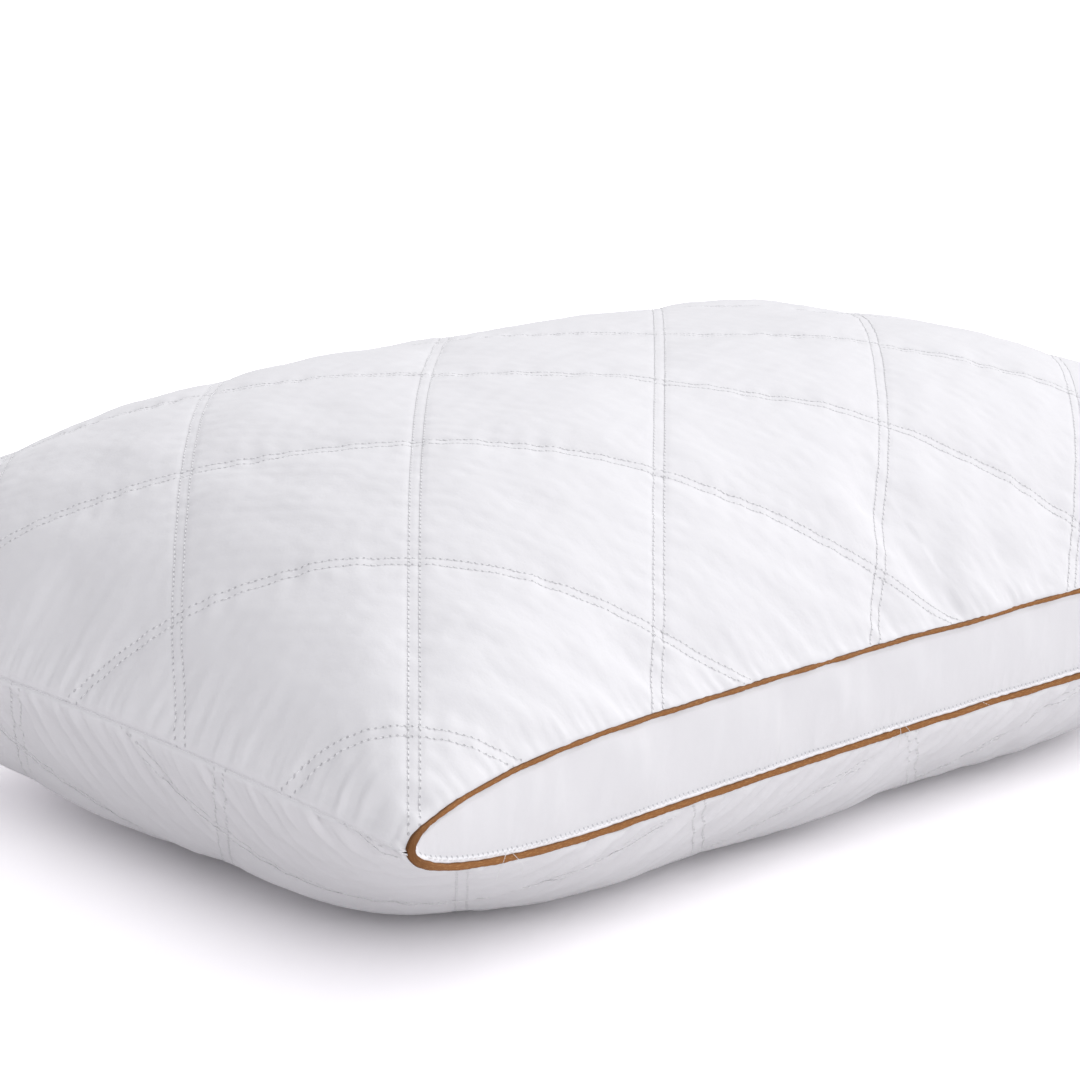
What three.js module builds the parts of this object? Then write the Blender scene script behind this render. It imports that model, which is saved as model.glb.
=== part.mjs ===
import * as THREE from 'three';

// A gusseted, quilted bed pillow lying on a flat surface.
// X runs along the long side, Y along the short side and Z up. The origin is at the middle of
// the underside. Every dimension is in millimetres.

// Driving dimensions
const CUT_LENGTH = 762;          // panels before sewing, 762 by 508 mm or 30 by 20 inches
const END_REACH = 343;           // half length at the middle of an end seam
const CORNER_REACH = 345;        // half length at a corner
const WAIST_REACH = 228;         // half width at the middle of a long side
const CORNER_WIDTH = 244;        // half width at a corner
const SEAM_HEIGHT = 98;          // seam line above the floor
const END_RISE = 7;              // how much higher the middle of an end seam is
const CROWN = 114;               // top panel above the seam line
const GUSSET_HEIGHT = 35;        // finished height of the side gusset
const GUSSET_TAPER = 140;        // length over which its pointed ends narrow
const GUSSET_START = 6;          // corner of the panel to the tip of the piping loop
const GUSSET_LEAN = 0.02;        // how far the gusset leans inwards for each mm of rise
const PIPING_RADIUS = 1.6;
const CORD_RADIUS = 0.9;
const PIPING_WALL = 0.35;
const THREAD_RADIUS = 0.45;
const TOPSTITCH_INSET = 2.6;     // topstitch row inside the gusset's edge
const CLOTH = 1.2;               // shell cloth and gusset cloth
const WADDING = 4;
const LINING = 1;
const GAP = 0.4;                 // between layers that touch
const FILL_EASE = 3;             // between the lining and the fill
const SEAM_GAP = 1.8;            // between the two shells where they are seamed, with its thread
const END_CURL = 0.89;           // how strongly the panel turns over towards its ends, in radians
const SIDE_CURL = 0.97;          // the same towards its long sides
const TOP_ENDS = { power: 3.4, softness: 0.88 };     // how the crown falls towards the ends
const TOP_SIDES = { power: 2.75, softness: 1.38 };   // and towards the long sides
const UNDER_ENDS = 3.5;          // how steeply the underside climbs to the ends
const UNDER_SIDES = 2.3;         // and to the long sides
const FLAT_SHARE = 0.3;          // middle share of the underside that is flat on the floor

// Derived dimensions
const RISE = Math.sqrt(1 - GUSSET_LEAN ** 2);
const PIPING_ROOM = (PIPING_RADIUS + 0.3) / 0.6;
const ELLIPSE_CENTRE = GUSSET_START + GUSSET_TAPER;
const LAYER_DEPTHS = {
  wadding: CLOTH + GAP,
  lining: CLOTH + WADDING + 2 * GAP,
  fill: CLOTH + WADDING + LINING + 2 * GAP + FILL_EASE,
};

// Half height of a lens outline at a distance from the corner. Inset 0 is the shells' opening,
// 1 the piping's centre line and 2 the gusset's own edge.
function lensHalf(distance, inset) {
  const taper = GUSSET_TAPER - inset * PIPING_ROOM;
  const half = GUSSET_HEIGHT / 2 + (2 - inset) * PIPING_ROOM;
  const along = Math.min(Math.max((ELLIPSE_CENTRE - distance) / taper, 0), 1);
  return half * Math.sqrt(1 - along ** 2);
}

const cornerDistance = (u) => (1 - Math.abs(u)) * CUT_LENGTH / 2;
const opening = (u) => Math.max(lensHalf(cornerDistance(u), 0), SEAM_GAP / 2);

// Plan of the seam line: the sides pull in between the corners.
const halfLength = (v) => END_REACH + (CORNER_REACH - END_REACH) * v * v;
const halfWidth = (u, h) => WAIST_REACH + (CORNER_WIDTH - WAIST_REACH) * u * u - GUSSET_LEAN * h;

// A panel coordinate seen from above: the middle lines turn over towards their ends, and the
// panel's own edges, where the other coordinate is 1 or -1, keep their spacing.
function turned(t, curl, other) {
  const edge = other * other;
  return edge * t + (1 - edge) * Math.sin(curl * t) / Math.sin(curl);
}

function seamHeight(u, v) {
  return SEAM_HEIGHT + END_RISE * (1 - v * v) * u * u;
}

// Two falls from 1 to 0 met so that the corner between them stays full: where one is 1 the other
// holds, and near the corner their reciprocals add.
function met(first, second) {
  const sum = first + second - first * second;
  return sum > 0 ? (first * second) / sum : 0;
}

// Top and bottom panel surfaces at panel coordinates u, v from -1 to 1.
function topPoint(u, v) {
  const fall = (t, { power, softness }) => (1 - Math.abs(t) ** power) ** softness;
  const h = opening(u);
  const edge = seamHeight(u, v) + Math.max(RISE * h * v * v, SEAM_GAP / 2);
  return new THREE.Vector3(
    halfLength(v) * turned(u, END_CURL, v),
    halfWidth(u, h) * turned(v, SIDE_CURL, u),
    edge + CROWN * met(fall(u, TOP_ENDS), fall(v, TOP_SIDES)),
  );
}

function bottomPoint(u, v) {
  const climb = (t, power) => (Math.max(Math.abs(t) - FLAT_SHARE, 0) / (1 - FLAT_SHARE)) ** power;
  const flat = (1 - climb(u, UNDER_ENDS)) * (1 - climb(v, UNDER_SIDES));
  const h = opening(u);
  const edge = seamHeight(u, v) - Math.max(RISE * h * v * v, SEAM_GAP / 2);
  return new THREE.Vector3(
    halfLength(v) * turned(u, END_CURL, v),
    halfWidth(u, -h) * turned(v, SIDE_CURL, u),
    edge * (1 - flat),
  );
}

// The underside of the shell cloth, which meets the outer surface's height at the seams.
function shellInside(surface, inward) {
  return (u, v) => {
    const fullness = (1 - u ** 8) * (1 - v ** 8);
    return surface(u, v).add(new THREE.Vector3(-CLOTH * u, -CLOTH * v, inward * CLOTH * fullness));
  };
}

// A surface under the shell, at a depth.
function under(surface, inward, depth) {
  return (u, v) => surface(u, v).add(new THREE.Vector3(-depth * u, -depth * v, inward * depth));
}

// Side wall at panel coordinate u and height h above the seam line, pushed out by a distance.
function wallPoint(u, h, side, out) {
  return new THREE.Vector3(
    CORNER_REACH * u,
    side * (halfWidth(u, h) + RISE * out),
    seamHeight(u, 1) + RISE * h + GUSSET_LEAN * out,
  );
}

// Distances from the corner where the lens outlines have their points.
const TIP_STEPS = 6;
const tipAngles = Array.from({ length: TIP_STEPS + 1 }, (_, i) => (i / TIP_STEPS) * Math.PI / 2);
const MIDDLE_STEPS = 6;

function lensStations(inset, lowest) {
  const taper = GUSSET_TAPER - inset * PIPING_ROOM;
  const end = tipAngles.map((a) => ELLIPSE_CENTRE - taper * Math.cos(a)).filter((d) => d > lowest);
  return [lowest, ...end].map((d) => 1 - d / (CUT_LENGTH / 2));
}

function acrossFromEnd(ends) {
  const inner = ends[ends.length - 1];
  const middle = Array.from({ length: MIDDLE_STEPS - 1 }, (_, i) => inner * (1 - 2 * (i + 1) / MIDDLE_STEPS));
  return [...ends, ...middle, ...ends.map((u) => -u).reverse()].reverse();
}

const PANEL_U = acrossFromEnd(lensStations(0, 0));
const PANEL_STEPS_V = 14;
const PANEL_V = Array.from({ length: PANEL_STEPS_V + 1 }, (_, j) => -Math.cos(Math.PI * j / PANEL_STEPS_V));

// The layers under the shell stop short of the end seams and the side seams.
const LAYER_U = PANEL_U.slice(3, -3);
const LAYER_V = PANEL_V.slice(1, -1);

// A geometry from a list of points and a list of index triples.
function geometryFrom(points, triangles) {
  const geometry = new THREE.BufferGeometry();
  geometry.setAttribute('position', new THREE.Float32BufferAttribute(points.flatMap((p) => p.toArray()), 3));
  geometry.setIndex(triangles.flat());
  return geometry;
}

// A closed slab between two surfaces sampled on the same grid, the first one above the second
// or, on a side wall, outside it.
function slab(upper, lower, us, vs) {
  const columns = vs.length;
  const count = us.length * columns;
  const points = [upper, lower].flatMap((surface) => us.flatMap((u) => vs.map((v) => surface(u, v))));
  const at = (i, j) => i * columns + j;
  const triangles = [];
  const quad = (a, b, c, d) => triangles.push([a, b, c], [a, c, d]);
  for (let i = 0; i + 1 < us.length; i += 1) {
    for (let j = 0; j + 1 < columns; j += 1) {
      quad(at(i, j), at(i + 1, j), at(i + 1, j + 1), at(i, j + 1));
      quad(count + at(i, j), count + at(i, j + 1), count + at(i + 1, j + 1), count + at(i + 1, j));
    }
  }
  const last = us.length - 1;
  for (let i = 0; i < last; i += 1) {
    quad(at(i, 0), count + at(i, 0), count + at(i + 1, 0), at(i + 1, 0));
    const here = at(i, columns - 1);
    const next = at(i + 1, columns - 1);
    quad(next, count + next, count + here, here);
  }
  for (let j = 0; j + 1 < columns; j += 1) {
    quad(at(0, j + 1), count + at(0, j + 1), count + at(0, j), at(0, j));
    quad(at(last, j), count + at(last, j), count + at(last, j + 1), at(last, j + 1));
  }
  return geometryFrom(points, triangles);
}

// A body swept through rings of points, closed into a loop or capped at both ends.
function sweep(rings, looped) {
  const size = rings[0].length;
  const points = rings.flat();
  const triangles = [];
  const turns = looped ? rings.length : rings.length - 1;
  for (let i = 0; i < turns; i += 1) {
    const next = (i + 1) % rings.length;
    for (let j = 0; j < size; j += 1) {
      const k = (j + 1) % size;
      triangles.push([i * size + j, i * size + k, next * size + k]);
      triangles.push([i * size + j, next * size + k, next * size + j]);
    }
  }
  if (!looped) {
    const lastStart = (rings.length - 1) * size;
    for (let j = 1; j + 1 < size; j += 1) {
      triangles.push([0, j + 1, j], [lastStart, lastStart + j, lastStart + j + 1]);
    }
  }
  return geometryFrom(points, triangles);
}

// Rings of a cross-section carried along a path. The section's first axis points away from the
// wall at each path point, so its points are [outward, sideways] pairs.
function ringsAlong(path, outwards, section, looped) {
  const count = path.length;
  return path.map((centre, i) => {
    const before = looped ? path[(i + count - 1) % count] : path[Math.max(i - 1, 0)];
    const after = looped ? path[(i + 1) % count] : path[Math.min(i + 1, count - 1)];
    const tangent = after.clone().sub(before).normalize();
    const out = outwards[i].clone().addScaledVector(tangent, -outwards[i].dot(tangent)).normalize();
    const side = new THREE.Vector3().crossVectors(tangent, out);
    return section.map(([a, b]) => centre.clone().addScaledVector(out, a).addScaledVector(side, b));
  });
}

function circle(radius, sides) {
  return Array.from({ length: sides }, (_, i) => {
    const angle = (i / sides) * 2 * Math.PI;
    return [radius * Math.cos(angle), radius * Math.sin(angle)];
  });
}

// C-shaped section of the bias strip folded round its cord, open towards the seam allowance.
function foldedStrip(radius, wall, sides) {
  const slit = Math.PI / 8;
  const arc = (r, from, to) => Array.from({ length: sides + 1 }, (_, i) => {
    const angle = from + (to - from) * i / sides;
    return [r * Math.cos(angle), r * Math.sin(angle)];
  });
  const outside = arc(radius, slit - Math.PI, Math.PI - slit);
  const inside = arc(radius - wall, Math.PI - slit, slit - Math.PI);
  return [...outside, ...inside];
}

// The elliptical quarter from a lens outline's point to its full half height.
function lensTip(taper, half) {
  const panelCoordinate = (a) => 1 - (ELLIPSE_CENTRE - taper * Math.cos(a)) / (CUT_LENGTH / 2);
  return tipAngles.map((a) => [panelCoordinate(a), half * Math.sin(a)]);
}

// Points round the lens: the upper branch, the far tip, the lower branch and the near tip.
function lensLoop(inset) {
  const half = GUSSET_HEIGHT / 2 + (2 - inset) * PIPING_ROOM;
  const tip = lensTip(GUSSET_TAPER - inset * PIPING_ROOM, half);
  const straight = Array.from({ length: MIDDLE_STEPS - 1 }, (_, i) => {
    return [tip[TIP_STEPS][0] * (1 - 2 * (i + 1) / MIDDLE_STEPS), half];
  });
  const upper = [...tip, ...straight, ...tip.map(([u, h]) => [-u, h]).reverse()];
  const lower = upper.slice(1, -1).map(([u, h]) => [u, -h]).reverse();
  return [...upper, ...lower];
}

// The loop of one side as points in space and their outward directions.
function loopOnWall(inset, side, out) {
  const loop = lensLoop(inset);
  const ordered = side < 0 ? loop : [...loop].reverse();
  return {
    path: ordered.map(([u, h]) => wallPoint(u, h, side, out)),
    outwards: ordered.map(() => new THREE.Vector3(0, side * RISE, GUSSET_LEAN)),
  };
}

// Layers
function panelLayers(surface, inward) {
  const layer = (outside, inside, us, vs) => {
    const [upper, lower] = inward < 0 ? [outside, inside] : [inside, outside];
    return slab(upper, lower, us, vs);
  };
  const at = (depth) => under(surface, inward, depth);
  const { wadding, lining } = LAYER_DEPTHS;
  return {
    shell: layer(surface, shellInside(surface, inward), PANEL_U, PANEL_V),
    wadding: layer(at(wadding), at(wadding + WADDING), LAYER_U, LAYER_V),
    lining: layer(at(lining), at(lining + LINING), LAYER_U, LAYER_V),
  };
}

function fillBody() {
  const at = (surface, inward) => under(surface, inward, LAYER_DEPTHS.fill);
  return slab(at(topPoint, -1), at(bottomPoint, 1), LAYER_U, LAYER_V);
}

function gussetBody(side) {
  const tipBlunt = 2;
  const us = acrossFromEnd(lensStations(2, GUSSET_START + 2 * PIPING_ROOM + tipBlunt));
  const bulge = (h, half) => half / 8 * (1 - (h / half) ** 2);
  const surface = (sink) => (u, t) => {
    const half = lensHalf(cornerDistance(u), 2);
    return wallPoint(u, t * half, side, bulge(t * half, half) - sink);
  };
  const ts = [-1, -0.5, 0, 0.5, 1];
  return slab(surface(0), surface(CLOTH), side < 0 ? us : [...us].reverse(), ts);
}

function pipingCover(side) {
  const { path, outwards } = loopOnWall(1, side, 0);
  return sweep(ringsAlong(path, outwards, foldedStrip(PIPING_RADIUS, PIPING_WALL, 5), true), true);
}

function pipingCord(side) {
  const { path, outwards } = loopOnWall(1, side, 0);
  return sweep(ringsAlong(path, outwards, circle(CORD_RADIUS, 6), true), true);
}

// Thread of the seam that closes one end, lying between the edges of the two shells.
function endSeamThread(end) {
  const reach = 0.97;
  const path = PANEL_V.map((v) => {
    const y = CORNER_WIDTH * v * reach;
    return new THREE.Vector3(end * (halfLength(v * reach) - 1), y, seamHeight(1, v * reach));
  });
  const outwards = path.map(() => new THREE.Vector3(end, 0, 0));
  return sweep(ringsAlong(path, outwards, circle(THREAD_RADIUS, 5), false), false);
}

// Topstitch thread along the gusset's lower edge and round both tips.
function topstitchThread(side) {
  const half = GUSSET_HEIGHT / 2 - TOPSTITCH_INSET;
  const taper = GUSSET_TAPER - 2 * PIPING_ROOM - 2 * TOPSTITCH_INSET;
  const tip = lensTip(taper, -half);
  const turnBack = [tip[1][0], -tip[1][1]];
  const straight = Array.from({ length: MIDDLE_STEPS - 1 }, (_, i) => {
    return [tip[TIP_STEPS][0] * (1 - 2 * (i + 1) / MIDDLE_STEPS), -half];
  });
  const rightEnd = [turnBack, ...tip];
  const row = [...rightEnd, ...straight, ...rightEnd.map(([u, h]) => [-u, h]).reverse()];
  const above = (GUSSET_HEIGHT / 16) + THREAD_RADIUS + 0.3;
  const path = row.map(([u, h]) => wallPoint(u, h, side, above));
  const outwards = path.map(() => new THREE.Vector3(0, side * RISE, GUSSET_LEAN));
  return sweep(ringsAlong(path, outwards, circle(THREAD_RADIUS, 5), false), false);
}

// Finishes
const finishes = {
  cotton: { color: 0xf1f1f4, roughness: 0.85, metalness: 0 },
  wadding: { color: 0xf5f4f0, roughness: 1, metalness: 0 },
  piping: { color: 0x9a6a3c, roughness: 0.8, metalness: 0 },
  thread: { color: 0xfbfbfb, roughness: 0.6, metalness: 0 },
  cord: { color: 0xe9e5da, roughness: 0.9, metalness: 0 },
};

const pillow = new THREE.Group();

function addPiece(name, geometry, finish) {
  const mesh = new THREE.Mesh(geometry, new THREE.MeshStandardMaterial(finishes[finish]));
  mesh.name = name;
  pillow.add(mesh);
}

for (const [panel, surface, inward] of [['top', topPoint, -1], ['bottom', bottomPoint, 1]]) {
  const layers = panelLayers(surface, inward);
  addPiece(`${panel}_shell`, layers.shell, 'cotton');
  addPiece(`${panel}_wadding`, layers.wadding, 'wadding');
  addPiece(`${panel}_lining`, layers.lining, 'cotton');
}
addPiece('fill', fillBody(), 'wadding');

for (const [name, side] of [['front', -1], ['back', 1]]) {
  addPiece(`${name}_gusset`, gussetBody(side), 'cotton');
  addPiece(`${name}_piping_cover`, pipingCover(side), 'piping');
  addPiece(`${name}_piping_cord`, pipingCord(side), 'cord');
  addPiece(`${name}_topstitch_thread`, topstitchThread(side), 'thread');
}

for (const [name, end] of [['left', -1], ['right', 1]]) {
  addPiece(`${name}_end_seam_thread`, endSeamThread(end), 'thread');
}

export default pillow;
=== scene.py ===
"""A gusseted, quilted bed pillow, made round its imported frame.

Two panels cut 762 by 508 mm are quilted in diamonds with double rows of stitches. A lens-shaped
gusset with a piped edge joins them along each long side, and a plain seam closes each end.
Every length is in metres. X runs along the pillow, Y across it and Z up.
"""

from functools import lru_cache

import bpy
import numpy as np
from bpy.props import FloatProperty, FloatVectorProperty, PointerProperty
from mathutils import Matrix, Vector


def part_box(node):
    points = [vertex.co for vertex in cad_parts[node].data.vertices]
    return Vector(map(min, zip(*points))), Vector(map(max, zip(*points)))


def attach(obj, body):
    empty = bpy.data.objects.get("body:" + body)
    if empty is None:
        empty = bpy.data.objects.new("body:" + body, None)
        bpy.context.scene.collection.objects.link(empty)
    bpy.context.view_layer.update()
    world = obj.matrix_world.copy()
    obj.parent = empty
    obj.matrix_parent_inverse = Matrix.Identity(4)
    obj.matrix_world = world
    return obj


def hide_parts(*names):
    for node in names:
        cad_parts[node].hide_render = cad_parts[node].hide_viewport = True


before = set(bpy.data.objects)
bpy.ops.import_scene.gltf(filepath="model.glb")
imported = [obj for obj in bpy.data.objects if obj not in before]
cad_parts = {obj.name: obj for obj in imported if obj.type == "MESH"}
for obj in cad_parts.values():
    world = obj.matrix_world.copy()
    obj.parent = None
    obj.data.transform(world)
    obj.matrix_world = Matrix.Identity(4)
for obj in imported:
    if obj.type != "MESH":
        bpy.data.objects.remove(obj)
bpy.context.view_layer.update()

bl_info = {
    "name": "Quilted Bed Pillow",
    "version": (1, 0, 0),
    "blender": (4, 5, 0),
    "location": "3D View > Sidebar > Pillow",
    "description": "Makes a gusseted, quilted bed pillow with contrast piping",
    "category": "Add Mesh",
}

MM = 0.001
ROOT = "root"
SIDES = {"front": -1, "back": 1}
ENDS = {"left": -1, "right": 1}
SHELL_LOW, SHELL_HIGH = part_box("top_shell")
GUSSET_LOW, GUSSET_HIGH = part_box("front_gusset")
SEAM_MIDDLE = (GUSSET_LOW.z + GUSSET_HIGH.z) / 2
CROWN_RISE = SHELL_HIGH.z - SEAM_MIDDLE + 1.3 * MM


# Settings


def length(name, description, default):
    """A size in metres."""
    return FloatProperty(
        name=name, description=description, default=default, unit="LENGTH", subtype="DISTANCE", precision=4
    )


def colour(name, description, default):
    """A colour in linear light."""
    return FloatVectorProperty(
        name=name, description=description, default=default, size=3, min=0, max=1, subtype="COLOR"
    )


class PillowSizes(bpy.types.PropertyGroup):
    """Sizes of the pillow."""

    cut_length: length("Cut length", "Length of each panel before sewing", 762 * MM)
    cut_width: length("Cut width", "Width of each panel before sewing", 508 * MM)
    corner_reach: length("Corner reach", "Middle to a corner, along the pillow", SHELL_HIGH.x)
    end_reach: length("End reach", "Middle to the middle of an end seam", SHELL_HIGH.x - 1 * MM)
    corner_width: length("Corner width", "Middle to a corner, across the pillow", SHELL_HIGH.y)
    waist_reach: length("Waist reach", "Middle to the middle of a long side", SHELL_HIGH.y - 16 * MM)
    seam_height: length("Seam height", "Floor to the middle of the gusset", SEAM_MIDDLE)
    end_rise: length("End rise", "How much higher the middle of an end seam is", 8.5 * MM)
    crown: length("Crown", "Height of the top panel above the seams", CROWN_RISE)
    gusset_height: length("Gusset height", "Finished height of the gusset", GUSSET_HIGH.z - GUSSET_LOW.z)
    gusset_taper: length("Gusset taper", "Length over which its blunt ends narrow", 140 * MM)
    gusset_start: length("Gusset start", "Corner to the tip of the gusset's opening", 2 * MM)
    seam_room: length("Seam room", "Gusset's edge to the middle of the piping", 3.17 * MM)
    quilt_spacing: length("Quilt spacing", "Between neighbouring double rows", 106 * MM)
    row_gap: length("Row gap", "Between the two rows of a double row", 4.8 * MM)
    stitch_pitch: length("Stitch pitch", "Between needle holes", 3 * MM)
    thread: length("Thread", "Radius of the sewing thread", 0.26 * MM)
    puff: length("Puff", "Height of a quilted diamond above its rows", 1.7 * MM)
    piping_radius: length("Piping radius", "Radius of the piping", 1.5 * MM)
    cord_radius: length("Cord radius", "Radius of the cord inside the piping", 0.9 * MM)
    cloth: length("Cloth", "Thickness of the shell cloth", 1.2 * MM)
    wadding: length("Wadding", "Thickness of the quilted wadding", 4 * MM)
    lining: length("Lining", "Thickness of the lining cloth", 1 * MM)


class PillowColours(bpy.types.PropertyGroup):
    """Colours of the pillow and its floor."""

    cotton: colour("Cotton", "Shell cloth", (0.80, 0.793, 0.815))
    thread: colour("Thread", "Sewing thread", (0.86, 0.86, 0.87))
    # painted shade: needle holes on the quilted panels and along the gusset's topstitching are darkened
    # toward this colour
    needle_hole_shade: colour("Needle holes", "Shade in a needle hole", (0.36, 0.36, 0.39))
    piping: colour("Piping", "Bias strip of the piping", (0.36, 0.152, 0.049))
    piping_fleck: colour("Piping flecks", "Lighter threads of the bias strip", (0.53, 0.27, 0.10))
    # painted shade: the bias strip is darkened toward this colour where it turns in to its seam and round
    # its tips
    piping_painted_shade: colour("Piping shade", "Bias strip where it turns in to its seam", (0.11, 0.045, 0.014))
    filling: colour("Filling", "Wadding and filling", (0.85, 0.85, 0.83))
    floor: colour("Floor", "Pale studio floor", (0.93, 0.916, 0.924))


def sizes():
    """The scene's pillow sizes."""
    return bpy.context.scene.pillow_sizes


def colours():
    """The scene's pillow colours."""
    return bpy.context.scene.pillow_colours


# The pillow's form

GUSSET_LEAN = 0.02       # how far the gusset leans inwards for each unit of rise
RISE = np.sqrt(1 - GUSSET_LEAN**2)
END_CURL = 0.87          # how strongly the panel turns over towards its ends, in radians
SIDE_CURL = 0.92         # the same towards its long sides
TOP_ENDS = (3.29, 0.87)  # power and softness of the crown's fall towards the ends
TOP_SIDES = (2.63, 1.17)
UNDER_ENDS = 3.5         # how steeply the underside climbs to the ends
UNDER_SIDES = 2.4
FLAT_SHARE = 0.29        # middle share of the underside that is flat on the floor
FLOOR_GAP = 0.6 * MM
LOWER_BLUNTNESS = 2.12   # power of the lens outline's lower half, an ellipse being 2
SHARE = 4                # fine cells of a panel's outside to one cell of its inside


def running(steps):
    """Length travelled up to each point, from the steps between the points."""
    return np.concatenate([[0], np.cumsum(steps)])


def lens_half(distance, below=False):
    """Half height of the piping's lens outline at a distance from the corner: a quarter ellipse
    over the taper, then level. Its lower half is a blunter superellipse."""
    size = sizes()
    power = LOWER_BLUNTNESS if below else 2
    along = np.clip((tip_distance() + size.gusset_taper - distance) / size.gusset_taper, 0, 1)
    return piping_half() * (1 - along**power) ** (1 / power)


def piping_half():
    """Half the height between the upper and the lower piping, at mid length."""
    return sizes().gusset_height / 2 + sizes().seam_room


def tip_distance():
    """Corner to the tip of the piping's outline."""
    return sizes().gusset_start + sizes().seam_room


def corner_distance(u):
    """Cloth from panel coordinate u to the nearer corner."""
    return (1 - np.abs(u)) * sizes().cut_length / 2


def seam_distances(p, q):
    """Distances along the cloth to the nearer end seam and to the nearer piped seam."""
    size = sizes()
    return np.minimum(p, size.cut_length - p), np.minimum(q, size.cut_width - q)


def half_width(u, height):
    """Half the pillow's width at a height from the seam line: the sides pull in between corners."""
    size = sizes()
    return size.waist_reach + (size.corner_width - size.waist_reach) * u**2 - GUSSET_LEAN * height


def turned(t, curl, other):
    """A panel coordinate seen from above: a sine along the middle lines, even along the edges."""
    edge = other**2
    return edge * t + (1 - edge) * np.sin(curl * t) / np.sin(curl)


def seam_height(u, v):
    """Height of the seam line: level along the sides, and arched along the ends."""
    size = sizes()
    return size.seam_height + size.end_rise * (1 - v**2) * u**2


def panel_form(side, u, v):
    """The plain surface of a panel, side 1 the top and -1 the underside, at panel coordinates
    from -1 to 1. The top's crown falls by a power of u and of v, and the two falls are met by
    adding reciprocals. The underside is flat on the floor and climbs by powers to the seams."""
    size = sizes()
    height = lens_half(corner_distance(u), side < 0)
    length_here = size.end_reach + (size.corner_reach - size.end_reach) * v**2
    x = length_here * turned(u, END_CURL, v)
    y = half_width(u, side * height) * turned(v, SIDE_CURL, u)
    edge = seam_height(u, v) + side * RISE * height * v**2
    if side > 0:
        ends = np.clip(1 - np.abs(u) ** TOP_ENDS[0], 0, 1) ** TOP_ENDS[1]
        across = np.clip(1 - np.abs(v) ** TOP_SIDES[0], 0, 1) ** TOP_SIDES[1]
        z = edge + size.crown * ends * across / np.maximum(ends + across - ends * across, 1e-9)
    else:
        climb_u = (np.clip(np.abs(u) - FLAT_SHARE, 0, 1) / (1 - FLAT_SHARE)) ** UNDER_ENDS
        climb_v = (np.clip(np.abs(v) - FLAT_SHARE, 0, 1) / (1 - FLAT_SHARE)) ** UNDER_SIDES
        z = edge * (1 - (1 - climb_u) * (1 - climb_v))
    return np.stack([x, y, z], -1)


def wall_form(side, u, height, out):
    """The side wall at panel coordinate u and a height from the seam line, pushed out."""
    x = sizes().corner_reach * u
    y = side * (half_width(u, height) + RISE * out)
    z = seam_height(u, 1) + RISE * height + GUSSET_LEAN * out
    return np.stack(np.broadcast_arrays(x, y, z), -1)


def gusset_form(side, u, t):
    """The gusset at panel coordinate u and share t of its half height, bulging as a parabola."""
    upper = lens_half(corner_distance(u))
    lower = lens_half(corner_distance(u), True)
    height = np.where(t > 0, t * upper, t * lower)
    return wall_form(side, u, height, upper / 8 * (1 - t**2))


def panel_stations(step):
    """Panel coordinates along the pillow, evenly spaced along the curved edge of the opening, so
    that they crowd together at the gusset's blunt tips."""
    half = sizes().cut_length / 2
    distance = half * np.linspace(0, 1, 8001)
    height = lens_half(distance)
    run = running(np.hypot(np.diff(distance), np.diff(height)))
    count = int(np.ceil(run[-1] / step / SHARE)) * SHARE
    stations = np.interp(np.linspace(0, run[-1], count + 1), run, distance)
    u = stations / half - 1
    return np.concatenate([u, -u[-2::-1]])


def cross_stations(step):
    """Panel coordinates across the pillow, evenly spaced."""
    count = int(np.ceil(sizes().cut_width / step / SHARE)) * SHARE
    return np.linspace(-1, 1, count + 1)


# Softness of the cloth


def waves(x, y, wavelength, seed, heading=0.0, spread=np.pi, count=14):
    """Soft seeded unevenness about 1 high: sine waves of about one wavelength, their directions
    spread about a heading, added together."""
    random = np.random.default_rng(seed)
    total = 0.0
    for _ in range(count):
        angle = heading + spread * (random.random() - 0.5)
        number = 2 * np.pi / wavelength * random.uniform(0.7, 1.45)
        phase = 2 * np.pi * random.random()
        total = total + np.sin(number * (x * np.cos(angle) + y * np.sin(angle)) + phase)
    return total * np.sqrt(2 / count)


def spline_matrix(positions, count):
    """Catmull-Rom weights that read a row of samples at fractional positions."""
    first = np.clip(np.floor(positions).astype(int), 0, count - 2)
    t = positions - first
    weights = [
        (-t + 2 * t**2 - t**3) / 2,
        (2 - 5 * t**2 + 3 * t**3) / 2,
        (t + 4 * t**2 - 3 * t**3) / 2,
        (-(t**2) + t**3) / 2,
    ]
    matrix = np.zeros((len(positions), count))
    rows = np.arange(len(positions))
    for offset, weight in enumerate(weights, start=-1):
        np.add.at(matrix, (rows, np.clip(first + offset, 0, count - 1)), weight)
    return matrix


CASING_CELL = 8 * MM     # cell of the casing that is relaxed as cloth
GUSSET_ROWS = 4
RELAX_FRAMES = 24
CREASE_CAP = 4 * MM      # furthest that relaxing may move the cloth from the plain form
CREASE_SHARES = (0.45, 0.25, 0.4, 0.4)   # how much creasing each cloth keeps once stuffed
BROAD_PASSES = 40        # smoothing passes that find the broad drift, which is taken away


def casing_parts():
    """Coordinates of the casing's four cloths on coarse grids."""
    us = panel_stations(CASING_CELL)
    vs = cross_stations(CASING_CELL)
    panel_u, panel_v = np.meshgrid(us, vs, indexing="ij")
    gusset_u, gusset_t = np.meshgrid(us, np.linspace(-1, 1, GUSSET_ROWS + 1), indexing="ij")
    return us, vs, panel_u, panel_v, gusset_u, gusset_t


def flat_casing(side, u, v):
    """The casing sewn but empty: panels flat, a boat-shaped gap between them where the gussets
    are, and the panels' length kept along the boat's curve."""
    size = sizes()
    height = lens_half(corner_distance(u), side < 0)
    station = u[:, 0]
    run = np.diff(station) * size.cut_length / 2
    rise = np.diff(height[:, 0])
    x = running(np.sqrt(np.maximum(run**2 - rise**2, (0.3 * run) ** 2)))
    x = np.broadcast_to((x - x[-1] / 2)[:, None], u.shape)
    y = v * size.cut_width / 2
    return np.stack(np.broadcast_arrays(x, y, side * height), -1)


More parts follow.
